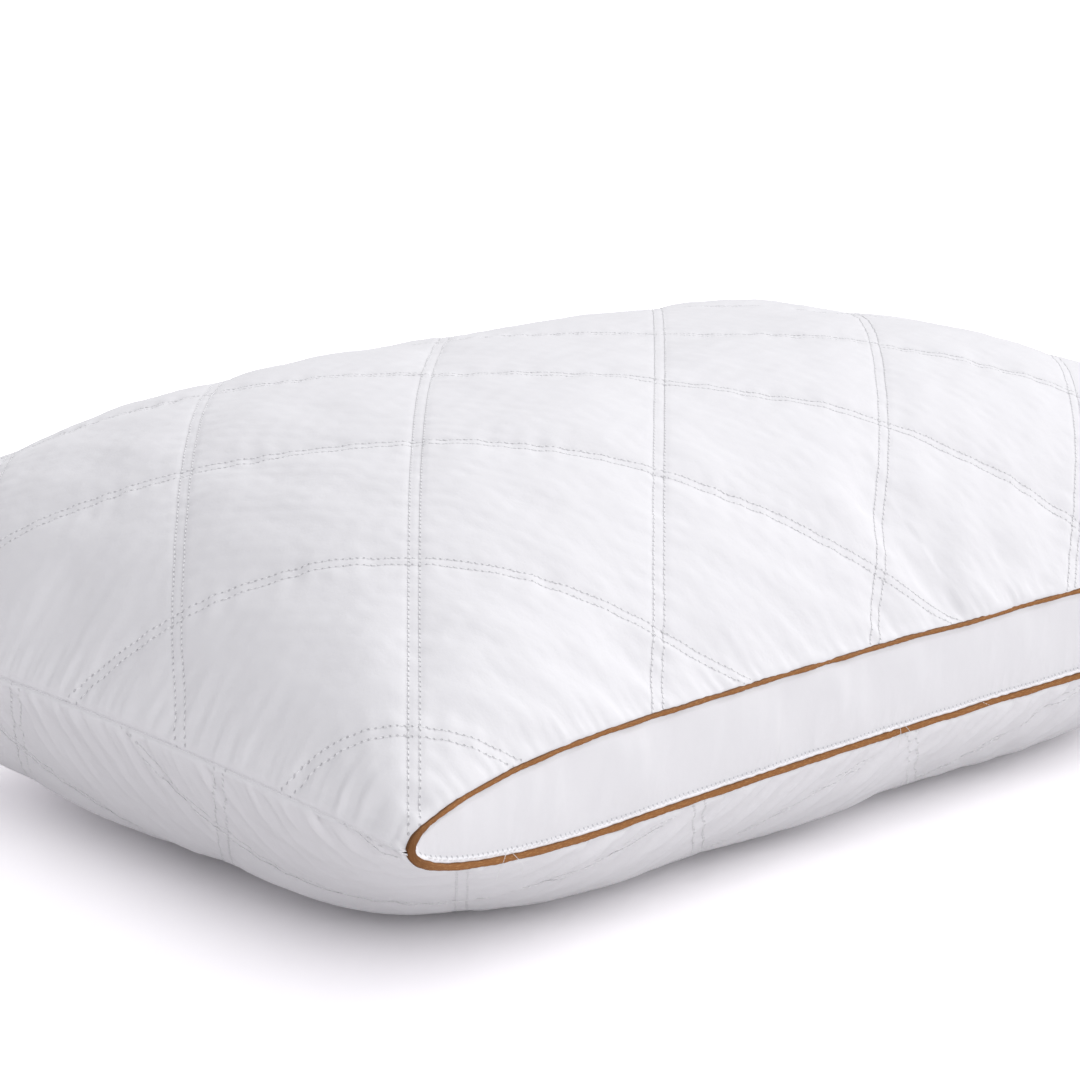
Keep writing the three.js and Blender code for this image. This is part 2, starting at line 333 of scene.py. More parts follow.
def casing_mesh():
    """The casing as one welded skin. Gives its filled points, its flat points, its faces, and the
    places of each cloth's grid in the list of points."""
    us, vs, panel_u, panel_v, gusset_u, gusset_t = casing_parts()
    rows, columns = panel_u.shape
    filled = [panel_form(1, panel_u, panel_v), panel_form(-1, panel_u, panel_v)]
    flat = [flat_casing(1, panel_u, panel_v), flat_casing(-1, panel_u, panel_v)]
    for side in SIDES.values():
        filled.append(gusset_form(side, gusset_u, gusset_t))
        wall = flat_casing(1, gusset_u, np.full_like(gusset_u, side))
        wall[..., 2] *= gusset_t
        flat.append(wall)
    places = []
    start = 0
    for grid in filled:
        count = grid.shape[0] * grid.shape[1]
        places.append(np.arange(start, start + count).reshape(grid.shape[:2]))
        start += count
    weld = np.arange(start)
    top, under, front, back = places
    weld[under[[0, -1], :]] = top[[0, -1], :]
    for gusset, column in ((front, 0), (back, columns - 1)):
        weld[gusset[:, 0]] = weld[under[:, column]]
        weld[gusset[:, -1]] = top[:, column]
        weld[gusset[[0, -1], :]] = top[[0, -1], column][:, None]
    pinched = np.flatnonzero(lens_half(corner_distance(us)) < 1e-6)
    for i in pinched:
        for gusset, column in ((front, 0), (back, columns - 1)):
            weld[under[i, column]] = top[i, column]
            weld[gusset[i]] = top[i, column]
    kept, place = np.unique(weld, return_inverse=True)
    places = [place[grid] for grid in places]
    quads = [grid_quads(places[0]), grid_quads(places[1])[:, ::-1]]
    quads += [grid_quads(places[2]), grid_quads(places[3])[:, ::-1]]
    faces = []
    for quad in np.concatenate(quads).tolist():
        corners = list(dict.fromkeys(quad))
        if len(corners) > 2:
            faces.append(corners)
    points = np.concatenate([grid.reshape(-1, 3) for grid in filled])[kept]
    rest = np.concatenate([grid.reshape(-1, 3) for grid in flat])[kept]
    return points, rest, faces, places


def grid_quads(places):
    """Quads of a grid of point numbers, turning from the first direction to the second."""
    corners = [places[:-1, :-1], places[1:, :-1], places[1:, 1:], places[:-1, 1:]]
    return np.stack(corners, -1).reshape(-1, 4)


def smoothed(values, edges, passes):
    """Values on a skin, each averaged with its neighbours a number of times."""
    counts = np.zeros(len(values))
    np.add.at(counts, edges[:, 0], 1)
    np.add.at(counts, edges[:, 1], 1)
    for _ in range(passes):
        total = np.zeros_like(values)
        np.add.at(total, edges[:, 0], values[edges[:, 1]])
        np.add.at(total, edges[:, 1], values[edges[:, 0]])
        values = (values + total / counts[:, None]) / 2
    return values


@lru_cache(maxsize=1)
def creases():
    """How the sewn, stuffed casing creases: cloth cut flat is relaxed under pressure round the
    plain form, its broad drift is taken away, and what is left is capped. One grid of moves for
    each cloth: top, underside, front gusset, back gusset."""
    points, rest, faces, places = casing_mesh()
    mesh = bpy.data.meshes.new("casing")
    mesh.from_pydata(points.tolist(), [], faces)
    casing = bpy.data.objects.new("casing", mesh)
    bpy.context.scene.collection.objects.link(casing)
    casing.shape_key_add(name="filled")
    flat_key = casing.shape_key_add(name="flat")
    flat_key.data.foreach_set("co", rest.ravel())
    cloth = casing.modifiers.new("cloth", "CLOTH")
    settings = cloth.settings
    settings.quality = 6
    settings.mass = 0.3
    settings.tension_stiffness = 50
    settings.compression_stiffness = 20
    settings.shear_stiffness = 8
    settings.bending_stiffness = 6
    settings.air_damping = 4
    settings.use_pressure = True
    settings.uniform_pressure_force = 4
    settings.rest_shape_key = flat_key
    settings.effector_weights.gravity = 0
    cloth.collision_settings.use_collision = False
    cloth.point_cache.frame_end = RELAX_FRAMES + 1
    scene = bpy.context.scene
    for number in range(1, RELAX_FRAMES + 1):
        scene.frame_set(number)
    seen = casing.evaluated_get(bpy.context.evaluated_depsgraph_get())
    relaxed = np.empty(len(points) * 3, np.float32)
    seen.data.vertices.foreach_get("co", relaxed)
    edges = np.empty(len(mesh.edges) * 2, np.int32)
    mesh.edges.foreach_get("vertices", edges)
    edges = edges.reshape(-1, 2)
    bpy.data.objects.remove(casing)
    bpy.data.meshes.remove(mesh)
    scene.frame_set(1)
    moves = relaxed.reshape(-1, 3) - points
    moves = moves - smoothed(moves, edges, BROAD_PASSES)
    moves = smoothed(moves, edges, 1)
    reach = np.linalg.norm(moves, axis=1, keepdims=True)
    moves = moves / np.maximum(reach, 1e-9) * CREASE_CAP * np.tanh(reach / CREASE_CAP)
    return [moves[grid] * share for grid, share in zip(places, CREASE_SHARES)]


def crease_at(part, us, crosses):
    """Creases of one cloth read on a finer grid: along the pillow by station, across evenly."""
    grid = creases()[part]
    coarse = panel_stations(CASING_CELL)
    along = np.interp(us, coarse, np.arange(len(coarse)))
    across = (crosses + 1) / 2 * (grid.shape[1] - 1)
    left = spline_matrix(along, grid.shape[0])
    right = spline_matrix(across, grid.shape[1])
    return np.einsum("ai,bj,ijk->abk", left, right, grid, optimize=True)


# Quilting

QUILT_SHIFT = {1: (-0.05, 0.491), -1: (-0.23, 0.22)}   # where the rows lie, in row spacings
PUFF_WIDTH = 15 * MM
GROOVE_DEPTH = {1: 0.5 * MM, -1: 0.3 * MM}
GROOVE_WIDTH = 0.85 * MM
QUILT_STOP = 3.5 * MM          # the quilting stops this far from the seams


def quilt_rows(side, p, q):
    """Signed distance along the cloth to the nearest double row of each slanted family."""
    spacing = sizes().quilt_spacing * np.sqrt(2)
    falling, rising = QUILT_SHIFT[side]
    a = (p - q) / spacing + falling
    b = (p + q) / spacing - rising
    width = sizes().quilt_spacing
    return (a - np.round(a)) * width, (b - np.round(b)) * width


def quilt_height(side, p, q):
    """Height of the quilted surface: a soft pad in each diamond, nothing along the rows."""
    first, second = quilt_rows(side, p, q)
    pads = [1 - np.exp(-((np.abs(d) / PUFF_WIDTH) ** 1.35)) for d in (first, second)]
    fullness = 1 + 0.22 * waves(p, q, 190 * MM, 41 + side)
    return sizes().puff * (fullness * pads[0] * pads[1] - 0.5)


def row_grooves(side, p, q):
    """Narrow grooves where the two rows of each family pull the cloth down."""
    depth = 0.0
    for distance in quilt_rows(side, p, q):
        off_row = np.abs(distance) - sizes().row_gap / 2
        depth = depth + np.exp(-((off_row / GROOVE_WIDTH) ** 2))
    return -GROOVE_DEPTH[side] * depth


def row_puckers(side, p, q):
    """Little gathers that cross each double row and die away beside it."""
    first, second = quilt_rows(side, p, q)
    along = (p + q) / np.sqrt(2)
    across = (p - q) / np.sqrt(2)
    gathers = 0.0
    for distance, run, off, seed in ((first, along, across, 11), (second, across, along, 23)):
        fade = np.exp(-np.abs(distance) / (9 * MM))
        gathers = gathers + waves(run, off * 0.25, 13 * MM, seed + side, 0.0, 0.5) * fade
    return 0.2 * MM * gathers


def seam_puckers(side, p, q):
    """Gathers square to the end seams and to the piped seams, which run a little way in."""
    from_end, from_side = seam_distances(p, q)
    end_height, end_reach = {1: (0.38 * MM, 12 * MM), -1: (0.6 * MM, 26 * MM)}[side]
    side_height, side_reach = {1: (0.4 * MM, 14 * MM), -1: (1.2 * MM, 40 * MM)}[side]
    ends = waves(q + 0.2 * from_end, from_end * 0.2, 15 * MM, 31 + side, 0.0, 0.3)
    ends = ends + 0.6 * waves(q, from_end * 0.1, 8 * MM, 37 + side, 0.0, 0.3)
    ends = end_height * ends * np.exp(-from_end / end_reach)
    fine = waves(q, from_end * 0.1, 6 * MM, 73 + side, 0.0, 0.3)
    ends = ends + 0.45 * MM * fine * np.exp(-from_end / (5 * MM))
    sides = waves(p + 0.35 * from_side, from_side * 0.2, 24 * MM, 43 + side, 0.0, 0.4)
    sides = sides + 0.5 * waves(p, from_side * 0.2, 11 * MM, 47 + side, 0.0, 0.4)
    sides = side_height * sides * np.exp(-from_side / side_reach)
    fine = waves(p, from_side * 0.1, 7 * MM, 79 + side, 0.0, 0.3)
    sides = sides + 0.4 * MM * fine * np.exp(-from_side / (6 * MM))
    return ends + sides


def soft_folds(side, p, q):
    """Broad slack of the cloth over the filling, with slanting pulls towards the corners."""
    size = sizes()
    _, from_side = seam_distances(p, q)
    loose = 0.5 if side > 0 else 0.3
    slack = loose * MM * (waves(p, q, 120 * MM, 53 + side) + 0.5 * waves(p, q, 42 * MM, 59 + side))
    lean = np.where(p < size.cut_length / 2, 1.0, -1.0) * np.where(q < size.cut_width / 2, 1.0, -1.0)
    pulls = waves(p + lean * q, (p - lean * q) * 0.25, 40 * MM, 61 + side, 0.0, 0.5)
    fine = 0.07 * MM * waves(p, q, 11 * MM, 67 + side, 0.0, np.pi, 18)
    return slack + 0.32 * MM * pulls * np.exp(-from_side / (70 * MM)) + fine


SEAM_DEPTH = 1.9 * MM        # how far the seams draw the cloth in
SEAM_ROUND = 5 * MM          # seam to the top of the round beside it
SHOULDER_REACH = 40 * MM     # how slowly the round dies away


def shoulder(distance):
    """How far the cloth stands out beside a seam that is sewn tight: a quarter round away from
    the seam, and then a slow decay."""
    short = np.clip(1 - distance / SEAM_ROUND, 0, 1)
    return SEAM_DEPTH * (np.exp(-distance / SHOULDER_REACH) - 1 + np.sqrt(1 - short**2))


def seam_welt(p, q):
    """Ridge over the folded cloth inside a piped seam, strongest round the piping's tips."""
    from_end, from_side = seam_distances(p, q)
    from_seam = np.hypot(np.maximum(tip_distance() - from_end, 0), from_side)
    ridge = np.exp(-(((from_seam - 4.6 * MM) / (2.1 * MM)) ** 2))
    return 0.85 * MM * ridge * (0.3 + 0.7 * np.exp(-((from_end / (34 * MM)) ** 2)))


def normals(grid):
    """Unit normals of a grid surface, from the cross product of its two slopes."""
    return unit(np.cross(np.gradient(grid, axis=0), np.gradient(grid, axis=1)))


def panel_grid(side, us, vs, depth=0.0, stitched=True):
    """A panel's finished surface on a grid, at a depth under its outside. The plain form takes
    the creases, then the quilting and gathers along its normals, and is drawn in at the seams."""
    size = sizes()
    u, v = np.meshgrid(us, vs, indexing="ij")
    p = (u + 1) * size.cut_length / 2
    q = (v + 1) * size.cut_width / 2
    grid = panel_form(side, u, v) + crease_at(0 if side > 0 else 1, us, vs)
    from_end, from_side = seam_distances(p, q)
    from_seam = np.minimum(from_end, from_side)
    height = quilt_height(side, p, q) + soft_folds(side, p, q) + seam_puckers(side, p, q)
    if stitched:
        height = height + row_grooves(side, p, q) + row_puckers(side, p, q)
    height = height * (1 - np.exp(-((from_seam / (4 * MM)) ** 1.2))) + seam_welt(p, q)
    grid = grid + side * normals(grid) * (height - depth)[..., None]
    away = 1 - 0.85 * np.exp(-((np.hypot(from_end, from_side) / (16 * MM)) ** 2))
    grid[..., 0] += np.sign(u) * away * shoulder(from_end)
    grid[..., 1] += np.sign(v) * away * shoulder(from_side)
    grid[..., 2] = np.maximum(grid[..., 2], FLOOR_GAP + depth)
    return grid


# Meshes


def make_piece(name, points, groups, maps, finish, slot):
    """A piece from points, groups of faces with the same number of corners, and a map of cloth
    coordinates for each group's corners."""
    mesh = bpy.data.meshes.new(name)
    mesh.vertices.add(len(points))
    mesh.vertices.foreach_set("co", np.ascontiguousarray(points, np.float32).ravel())
    corners = np.concatenate([group.ravel() for group in groups]).astype(np.int32)
    counts = np.concatenate([np.full(len(group), group.shape[1]) for group in groups])
    mesh.loops.add(len(corners))
    mesh.loops.foreach_set("vertex_index", corners)
    mesh.polygons.add(len(counts))
    starts = np.concatenate([[0], np.cumsum(counts)[:-1]]).astype(np.int32)
    mesh.polygons.foreach_set("loop_start", starts)
    mesh.polygons.foreach_set("use_smooth", np.ones(len(counts), bool))
    mesh.update(calc_edges=True)
    layer = mesh.uv_layers.new(name="cloth")
    flat_map = np.concatenate([part.reshape(-1, 2) for part in maps]).astype(np.float32)
    layer.data.foreach_set("uv", flat_map.ravel())
    if mesh.validate():
        raise RuntimeError(f"{name} has faces that don't fit together")
    mesh.materials.append(finish)
    piece = bpy.data.objects.new(name, mesh)
    bpy.context.scene.collection.objects.link(piece)
    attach(piece, ROOT)
    return piece


def border(fine, coarse, share):
    """Faces between a fine edge and a coarse edge, one for each step of the coarse edge."""
    steps = np.arange(len(coarse) - 1)[:, None] * share + np.arange(share, -1, -1)[None, :]
    return np.hstack([coarse[:-1, None], coarse[1:, None], fine[steps]])


def slab(name, outside, inside, cloth_map, finish, slot, flipped=False):
    """A closed layer between an outside grid and a coarser inside grid whose every station is
    one of the outside's. The edges are closed by a border all round."""
    share = (outside.shape[0] - 1) // (inside.shape[0] - 1)
    outer = np.arange(outside.shape[0] * outside.shape[1]).reshape(outside.shape[:2])
    inner = outer.size + np.arange(inside.shape[0] * inside.shape[1]).reshape(inside.shape[:2])
    groups = [grid_quads(outer), grid_quads(inner)[:, ::-1]]
    groups.append(border(outer[:, 0], inner[:, 0], share))
    groups.append(border(outer[:, -1], inner[:, -1], share)[:, ::-1])
    groups.append(border(outer[0], inner[0], share)[:, ::-1])
    groups.append(border(outer[-1], inner[-1], share))
    if flipped:
        groups = [group[:, ::-1] for group in groups]
    points = np.concatenate([outside.reshape(-1, 3), inside.reshape(-1, 3)])
    coarse_map = cloth_map[::share, ::share]
    point_map = np.concatenate([cloth_map.reshape(-1, 2), coarse_map.reshape(-1, 2)])
    return make_piece(name, points, groups, [point_map[group] for group in groups], finish, slot)


def sweep(rings, along, around):
    """Points, faces and map of a profile carried round a closed loop. The map runs along the
    loop and round the profile in metres."""
    count, sides = rings.shape[:2]
    i = np.arange(count)[:, None]
    j = np.arange(sides)[None, :]
    next_i = (i + 1) % count
    next_j = (j + 1) % sides
    faces = np.stack(
        [i * sides + j, i * sides + next_j, next_i * sides + next_j, next_i * sides + j], -1
    ).reshape(-1, 4)
    u = np.stack([along[:-1], along[:-1], along[1:], along[1:]], -1)[:, None, :]
    v = np.stack([around[:-1], around[1:], around[1:], around[:-1]], -1)[None, :, :]
    corner_map = np.stack(np.broadcast_arrays(u, v), -1).reshape(-1, 4, 2)
    return rings.reshape(-1, 3), faces, corner_map


STITCH_SIDES = 5
STITCH_RINGS = ((-0.3, 0.85, 0.55), (0.0, 1.0, 1.0), (0.3, 0.85, 0.55))


def stitch_bodies(centres, along, up, stitch_length, radius):
    """Points, faces and map of many stitches. Each is a little bowed capsule: three rings that
    swell at the middle, and two poles that dip into the cloth."""
    side = np.cross(up, along)[:, None]
    centres, along, up = centres[:, None], along[:, None], up[:, None]
    angles = 2 * np.pi * np.arange(STITCH_SIDES)[None, :, None] / STITCH_SIDES
    ring = np.cos(angles) * side + np.sin(angles) * up
    points = []
    for place, swell, lift in STITCH_RINGS:
        middle = centres + along * place * stitch_length + up * lift * radius * 0.6
        points.append(middle + ring * radius * swell)
    for place in (-0.5, 0.5):
        points.append(centres + along * place * stitch_length - up * radius * 0.9)
    points = np.concatenate(points, axis=1)
    rings = np.arange(3 * STITCH_SIDES).reshape(3, STITCH_SIDES)
    turned_rings = np.roll(rings, -1, axis=1)
    low = np.stack([rings[:-1], turned_rings[:-1], turned_rings[1:], rings[1:]], -1).reshape(-1, 4)
    start = np.full(STITCH_SIDES, 3 * STITCH_SIDES)
    caps = [
        np.stack([start, turned_rings[0], rings[0]], -1),
        np.stack([start + 1, rings[-1], turned_rings[-1]], -1),
    ]
    shift = (np.arange(len(centres)) * points.shape[1])[:, None, None]
    groups = [(low[None] + shift).reshape(-1, 4), (np.concatenate(caps)[None] + shift).reshape(-1, 3)]
    groups = [group[:, ::-1] for group in groups]
    local = np.zeros((points.shape[1], 2))
    local[:-2] = np.stack([np.repeat([0.2, 0.5, 0.8], STITCH_SIDES), np.tile(angles.ravel(), 3) / 6.3], -1)
    local[-1, 0] = 1.0
    everywhere = np.tile(local * MM, (len(centres), 1))
    return points.reshape(-1, 3), groups, [everywhere[group] for group in groups]


def unit(vectors):
    """Vectors made one unit long."""
    return vectors / np.maximum(np.linalg.norm(vectors, axis=-1, keepdims=True), 1e-12)


def square_to(vectors, along):
    """Unit vectors turned square to unit directions, by taking away their part along them."""
    return unit(vectors - along * np.sum(vectors * along, axis=1, keepdims=True))


# Materials


class Wire:
    """A value in a material. Arithmetic on it adds Math nodes."""

    def __init__(self, finish, socket):
        self.finish = finish
        self.socket = socket

    def math(self, operation, *others):
        """One Math node with this value first."""
        node = self.finish.tree.nodes.new("ShaderNodeMath")
        node.operation = operation
        for place, value in enumerate((self, *others)):
            self.finish.feed(node.inputs[place], value)
        return Wire(self.finish, node.outputs[0])

    def __add__(self, other):
        return self.math("ADD", other)

    def __sub__(self, other):
        return self.math("SUBTRACT", other)

    def __rsub__(self, other):
        return self.math("MULTIPLY", -1.0) + other

    def __mul__(self, other):
        return self.math("MULTIPLY", other)

    def __truediv__(self, other):
        return self.math("DIVIDE", other)

    __radd__ = __add__
    __rmul__ = __mul__


class Finish:
    """A material in the making: its node tree and its main shader."""

    def __init__(self, name, roughness, sheen=0.0):
        self.material = bpy.data.materials.new(name)
        self.material.use_nodes = True
        self.tree = self.material.node_tree
        self.shader = self.tree.nodes["Principled BSDF"]
        self.shader.inputs["Roughness"].default_value = roughness
        self.shader.inputs["Sheen Weight"].default_value = sheen
        self.shader.inputs["Sheen Roughness"].default_value = 0.5
        self.shader.inputs["Specular IOR Level"].default_value = 0.25

    def feed(self, socket, value):
        """Link a wire to a socket, or set the socket's own value."""
        if isinstance(value, Wire):
            self.tree.links.new(value.socket, socket)
        else:
            socket.default_value = value

    def node(self, kind, settings, values, output=0):
        """Any other node: its settings first, then its sockets' values or links."""
        made = self.tree.nodes.new(kind)
        for name, value in settings.items():
            setattr(made, name, value)
        for socket, value in values.items():
            self.feed(made.inputs[socket], value)
        return Wire(self, made.outputs[output])

    def cloth_map(self):
        """The cloth coordinates of the piece, in metres."""
        return self.node("ShaderNodeUVMap", {"uv_map": "cloth"}, {})

    def parts(self, vector):
        """The first two numbers of a vector."""
        first = self.node("ShaderNodeSeparateXYZ", {}, {0: vector})
        second = Wire(self, first.socket.node.outputs[1])
        return first, second

    def noise(self, vector, scale, detail=2.0, roughness=0.5):
        """Noise from 0 to 1 at a number of spots to the metre."""
        return self.node(
            "ShaderNodeTexNoise",
            {},
            {"Vector": vector, "Scale": scale, "Detail": detail, "Roughness": roughness},
        )

    def blend(self, share, first, second):
        """Two colours mixed by a share."""
        return self.node("ShaderNodeMix", {"data_type": "RGBA"}, {0: share, 6: first, 7: second}, 2)

    def bump(self, height, distance, strength=1.0):
        """Fine relief on the shader's normal, its height in metres."""
        relief = self.node(
            "ShaderNodeBump", {}, {"Height": height, "Distance": distance, "Strength": strength}
        )
        self.feed(self.shader.inputs["Normal"], relief)

    def colour(self, value):
        """What the shader's base colour reads."""
        self.feed(self.shader.inputs["Base Color"], value)


def opaque(rgb, shade=1.0):
    """A colour with its fourth number, shaded."""
    return (rgb[0] * shade, rgb[1] * shade, rgb[2] * shade, 1.0)


def cotton_tone(finish, cloth, share, shade, darker):
    """Cotton colour with soft patches a little darker than the rest."""
    patches = finish.noise(cloth, 60.0, 3.0) * share
    return finish.blend(patches, opaque(colours().cotton, shade), opaque(colours().cotton, darker))


def dot_rows(across, along, pitch, radius):
    """A mask of needle holes: round dots on the line where across is 0, one to each pitch."""
    step = (along / pitch).math("FRACT") - 0.5
    reach = (step * pitch).math("POWER", 2.0) + across.math("POWER", 2.0)
    return (1.0 - reach.math("SQRT") / radius).math("MAXIMUM", 0.0)


@lru_cache(maxsize=None)
def quilted_cotton(side):
    """White cotton of a quilted panel: a fine weave, and needle holes along the double rows, sunk in the
    relief and darkened with painted shade.
    """
    size = sizes()
    finish = Finish("quilted_cotton_top" if side > 0 else "quilted_cotton_under", 0.82, 0.25)
    cloth = finish.cloth_map()
    p, q = finish.parts(cloth)
    spacing = size.quilt_spacing
    falling, rising = QUILT_SHIFT[side]
    across = (p - q) / np.sqrt(2)
    along = (p + q) / np.sqrt(2)
    holes = None
    for line, run, shift in ((across, along, falling), (along, across, -rising)):
        place = line / spacing + (shift + 0.5)
        off_middle = (place - place.math("FLOOR") - 0.5) * spacing
        off_row = off_middle.math("ABSOLUTE") - size.row_gap / 2
        mask = dot_rows(off_row, run, size.stitch_pitch, 0.58 * MM)
        holes = mask if holes is None else holes.math("MAXIMUM", mask)
    holes = (holes * 2.2).math("MINIMUM", 1.0)
    relief = weave_height(finish, p, q, cloth) - holes * (0.35 * MM)
    tone = cotton_tone(finish, cloth, 0.55, 1.0, 0.955)
    # painted shade in the needle holes, fainter on the underside
    finish.colour(finish.blend(holes * (0.4 if side > 0 else 0.2), tone, opaque(colours().needle_hole_shade)))
    finish.bump(relief, 1.0)
    return finish.material


def weave_height(finish, p, q, cloth):
    """Relief of plain cotton: threads over and under each other, and a fine crumple."""
    thread_count = 2 * np.pi / (0.55 * MM)
    weave = (p * thread_count).math("SINE") * (q * thread_count).math("SINE")
    crumple = finish.noise(cloth, 420.0, 3.0, 0.6) - 0.5
    folds = finish.noise(cloth, 110.0, 2.0, 0.5) - 0.5
    return weave * (0.012 * MM) + crumple * (0.10 * MM) + folds * (0.22 * MM)


@lru_cache(maxsize=None)
def plain_cotton(name, shade):
    """White cotton without quilting, for the linings."""
    finish = Finish(name, 0.8, 0.2)
    cloth = finish.cloth_map()
    p, q = finish.parts(cloth)
    finish.colour(cotton_tone(finish, cloth, 0.5, shade, shade * 0.96))
    finish.bump(weave_height(finish, p, q, cloth), 1.0)
    return finish.material


@lru_cache(maxsize=None)
def gusset_cotton():
    """White cotton of a gusset. Its folded lower edge is painted whiter, a painted highlight for the light
    that the standing fold catches, and a row of needle holes with painted shade in them runs along the
    fold."""
    finish = Finish("gusset_cotton", 0.8, 0.2)
    cloth = finish.cloth_map()
    p, q = finish.parts(cloth)
    tone = cotton_tone(finish, cloth, 0.5, 1.0, 0.96)
    # painted highlight: the band from the folded edge up to the topstitching is painted whiter than the
    # rest of the gusset
    fold = (1.0 - (q - TOPSTITCH_INSET) / (0.4 * MM)).math("MINIMUM", 1.0).math("MAXIMUM", 0.0)
    tone = finish.blend(fold, tone, opaque(colours().cotton, 1.17))
    holes = dot_rows(q - (TOPSTITCH_INSET + 0.35 * MM), p, sizes().stitch_pitch, 0.6 * MM)
    # painted shade in the needle holes along the fold
    finish.colour(finish.blend((holes * 1.6).math("MINIMUM", 0.55), tone, opaque(colours().needle_hole_shade)))
    finish.bump(weave_height(finish, p, q, cloth), 1.0)
    return finish.material


@lru_cache(maxsize=None)
def thread_finish():
    """Twisted white sewing thread."""
    finish = Finish("sewing_thread", 0.6, 0.2)
    p, q = finish.parts(finish.cloth_map())
    twist = ((p * 2.0 + q) * (2 * np.pi / (0.4 * MM))).math("SINE") * 0.5 + 0.5
    finish.colour(finish.blend(twist, opaque(colours().thread, 0.93), opaque(colours().thread)))
    finish.bump(twist * (0.03 * MM), 1.0)
    return finish.material


@lru_cache(maxsize=None)
def bias_finish():
    """Brown cotton cut on the bias: threads cross at a slant, some lighter and some darker. Painted shade
    darkens the strip where it turns in to its seam and round its tips, standing for the seam's shade there."""
    finish = Finish("piping_cloth", 0.75)
    cloth = finish.cloth_map()
    along, around = finish.parts(cloth)
    thread_count = 2 * np.pi / (0.62 * MM)
    first = ((along + around) * thread_count).math("SINE") * 0.5 + 0.5
    second = ((along - around) * thread_count).math("SINE") * 0.5 + 0.5
    stretched = finish.node(
        "ShaderNodeMapping", {}, {"Vector": cloth, "Rotation": (0.0, 0.0, 0.7), "Scale": (1.0, 5.0, 1.0)}
    )
    flecks = (finish.noise(stretched, 420.0, 2.0, 0.6) - 0.5) * 5.0
    flecks = flecks.math("MAXIMUM", 0.0).math("MINIMUM", 1.0)
    # painted shade along both edges of the strip, where it turns in to its seam, growing away from its
    # middle
    middle = (np.pi - PIPING_SLIT) * sizes().piping_radius
    off_middle = ((around - middle) / (1.3 * sizes().piping_radius)).math("ABSOLUTE")
    painted_edge_shade = off_middle.math("MINIMUM", 1.0).math("POWER", 3.0)
    base = finish.blend(first * second * 0.8, opaque(colours().piping, 0.86), opaque(colours().piping))
    base = finish.blend(flecks * 0.7, base, opaque(colours().piping_fleck))
    # painted shade round the piping's tips, fading with the distance along the strip
    end = (along / PIPING_TIP_SHADE).math("POWER", 2.0) * -1.0
    shade = (painted_edge_shade * 0.85).math("MAXIMUM", end.math("EXPONENT") * 0.6)
    finish.colour(finish.blend(shade, base, opaque(colours().piping_painted_shade)))
    finish.bump((first + second) * (0.05 * MM), 1.0)
    return finish.material


@lru_cache(maxsize=None)
def fibre_finish(name):
    """White polyester fibre: wadding and filling."""
    finish = Finish(name, 0.95, 0.3)
    place = finish.node("ShaderNodeTexCoord", {}, {}, 3)
    tufts = finish.noise(place, 90.0, 6.0, 0.7)
    finish.colour(finish.blend(tufts, opaque(colours().filling, 0.9), opaque(colours().filling)))
    finish.bump(tufts * (1.5 * MM), 1.0)
    return finish.material


FLOOR_GAIN = 1.75        # the floor looks this much brighter than it lights the pillow


@lru_cache(maxsize=None)
def floor_finish():
    """Smooth pale studio floor with a faint unevenness."""
    finish = Finish("studio_floor", 0.9)
    finish.shader.inputs["Specular IOR Level"].default_value = 0.0
    place = finish.node("ShaderNodeTexCoord", {}, {}, 3)
    tone = finish.noise(place, 3.0, 2.0)
    lighting = finish.blend(tone, opaque(colours().floor, 0.99), opaque(colours().floor))
    seen = finish.node("ShaderNodeLightPath", {}, {})
    finish.colour(finish.blend(seen, lighting, opaque(colours().floor, FLOOR_GAIN)))
    return finish.material


# Pieces

FINE = {1: 1.6 * MM, -1: 2.1 * MM}     # cells of the top and of the underside
LAYER_CELL = 7 * MM
LAYER_STOP = 0.965                     # the inner layers stop short of the seams
PANEL_NAMES = {1: "top", -1: "bottom"}


@lru_cache(maxsize=None)
def finished_panel(side):
    """Stations and surface of a panel's outside, with its normals."""
    us = panel_stations(FINE[side])
    vs = cross_stations(FINE[side])
    grid = panel_grid(side, us, vs)
    return us, vs, grid, side * normals(grid)


def panel_map(us, vs):
    """Cloth coordinates of a panel's grid, in metres from one corner."""
    size = sizes()
    u, v = np.meshgrid(us, vs, indexing="ij")
    return np.stack([(u + 1) * size.cut_length / 2, (v + 1) * size.cut_width / 2], -1)


def make_shell(side):
    """The cotton outside of a panel, closed on its inside by a plainer surface."""
    us, vs, grid, _ = finished_panel(side)
    inside = panel_grid(side, us[::SHARE], vs[::SHARE], sizes().cloth, stitched=False)
    name = f"{PANEL_NAMES[side]}_panel_shell"
    piece = slab(name, grid, inside, panel_map(us, vs), quilted_cotton(side), "cotton", side < 0)
    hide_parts(f"{PANEL_NAMES[side]}_shell")


def make_layer(side, layer, depth, thickness, finish):
    """Wadding or lining: the panel's surface again, deeper, stopping short of the seams."""
    us = LAYER_STOP * np.linspace(-1, 1, 1 + int(sizes().cut_length / LAYER_CELL))
    vs = LAYER_STOP * np.linspace(-1, 1, 1 + int(sizes().cut_width / LAYER_CELL))
    outside = panel_grid(side, us, vs, depth, stitched=False)
    inside = panel_grid(side, us, vs, depth + thickness, stitched=False)
    name = f"{PANEL_NAMES[side]}_panel_{layer}"
    piece = slab(name, outside, inside, panel_map(us, vs), finish, layer, side < 0)
    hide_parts(f"{PANEL_NAMES[side]}_{layer}")


